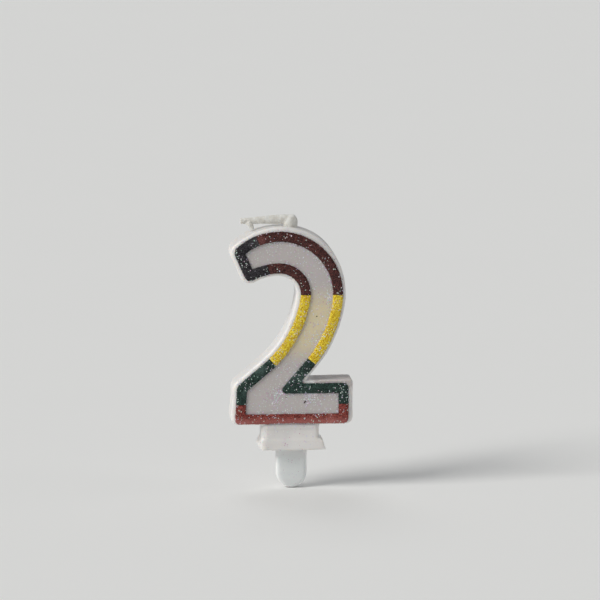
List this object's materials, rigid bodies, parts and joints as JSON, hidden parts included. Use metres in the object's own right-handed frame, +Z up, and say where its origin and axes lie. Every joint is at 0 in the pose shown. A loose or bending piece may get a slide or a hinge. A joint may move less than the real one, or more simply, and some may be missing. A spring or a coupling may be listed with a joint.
{
  "type": "number birthday candle",
  "caption": "Wax number candle shaped as a 2, with a multicolour glitter outline, a folded cotton wick and a plastic pick that stands it in a cake.",
  "frame": {"origin": "centre of the neck's underside, where the candle meets the cake, midway between its front and back faces", "axes": "+Z up along the candle, +X to the right of the digit as it is read, +Y from the glittered front face towards the plain back"},
  "size_m": [0.0343, 0.0108, 0.0785],
  "materials": {
    "wax": "satin white paraffin wax",
    "glitter_black": "black gel with iridescent glitter",
    "glitter_maroon": "maroon gel with iridescent glitter",
    "glitter_yellow": "yellow gel with iridescent glitter",
    "glitter_green": "dark green gel with iridescent glitter",
    "glitter_red": "red gel with iridescent glitter",
    "wick": "waxed white braided cotton",
    "pick_plastic": "frosted translucent natural plastic"
  },
  "bodies": {
    "pick_stem": {"pick": "pick_plastic"},
    "candle": {"wax_body": "wax", "glitter_black_hook": "glitter_black", "glitter_maroon_outer": "glitter_maroon", "glitter_maroon_inner": "glitter_maroon", "glitter_yellow_outer": "glitter_yellow", "glitter_yellow_inner": "glitter_yellow", "glitter_green_right": "glitter_green", "glitter_green_left": "glitter_green", "glitter_red_base": "glitter_red", "wick_core": "wick"},
    "wick_end": {"wick_tip": "wick"}
  },
  "joints": [
    {"name": "candle_lift", "type": "slide", "parent": "pick_stem", "child": "candle", "axis": [0, 0, 1], "range_m": [0, 0.013]},
    {"name": "wick_fold", "type": "hinge", "parent": "candle", "child": "wick_end", "pos_m": [-0.0004, 0, 0.066], "axis": [0, 1, 0], "range_deg": [0, 90]}
  ]
}
